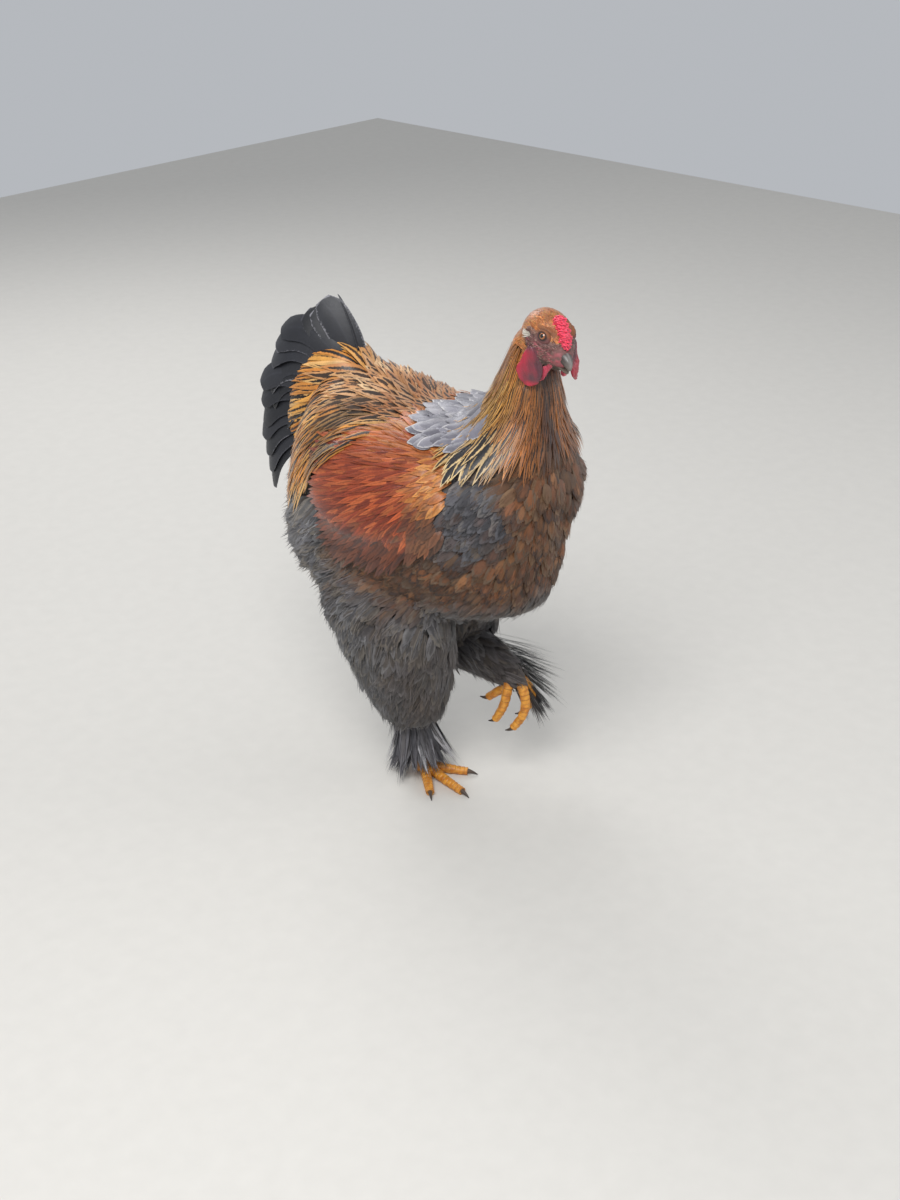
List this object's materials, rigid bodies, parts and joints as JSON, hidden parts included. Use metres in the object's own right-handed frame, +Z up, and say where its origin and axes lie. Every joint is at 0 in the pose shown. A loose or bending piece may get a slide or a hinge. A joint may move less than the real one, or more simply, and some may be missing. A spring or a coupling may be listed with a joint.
{
  "type": "brahma chicken",
  "caption": "Large feather-footed cockerel in mid-stride, standing on its right foot with the left foot raised, head turned to its right.",
  "frame": {"origin": "centre of the standing (right) foot's sole, on the floor", "axes": "+Z up; the bird faces -Y; its left side is +X"},
  "size_m": [0.2854, 0.4791, 0.651],
  "materials": {
    "breast_feathers": "soft rust-brown contour feathers with dark mottling",
    "hackle_feathers": "long golden-orange feathers with dark centres, silky sheen",
    "wing_feathers": "mahogany-red coverts, silky sheen",
    "tail_feathers": "broad blue-black feathers, satin",
    "fluff": "slate-grey down and foot feathers, matte",
    "toe_skin": "yellow-orange scaled skin",
    "claw_horn": "dark horn, worn satin",
    "face_skin": "dusky red bare skin with short feathers",
    "comb_skin": "bright red pebbled skin, moist satin",
    "beak_horn": "dark horn with a paler edge",
    "eye": "glossy wet eye"
  },
  "bodies": {
    "root": {"torso": "breast_feathers", "saddle": "hackle_feathers", "neck": "hackle_feathers", "wing_right": "wing_feathers", "wing_left": "wing_feathers", "tail": "tail_feathers", "thigh_right": "fluff", "thigh_left": "fluff", "shank_right": "fluff", "shank_left": "fluff", "foot_right": "toe_skin", "foot_left": "toe_skin", "claw_right_middle": "claw_horn", "claw_right_inner": "claw_horn", "claw_right_outer": "claw_horn", "claw_right_hind": "claw_horn", "claw_left_middle": "claw_horn", "claw_left_inner": "claw_horn", "claw_left_outer": "claw_horn", "claw_left_hind": "claw_horn", "head": "face_skin", "comb": "comb_skin", "wattle_right": "comb_skin", "wattle_left": "comb_skin", "earlobe_right": "comb_skin", "earlobe_left": "comb_skin", "beak_upper": "beak_horn", "beak_lower": "beak_horn", "eye_right": "eye", "eye_left": "eye"}
  },
  "joints": []
}
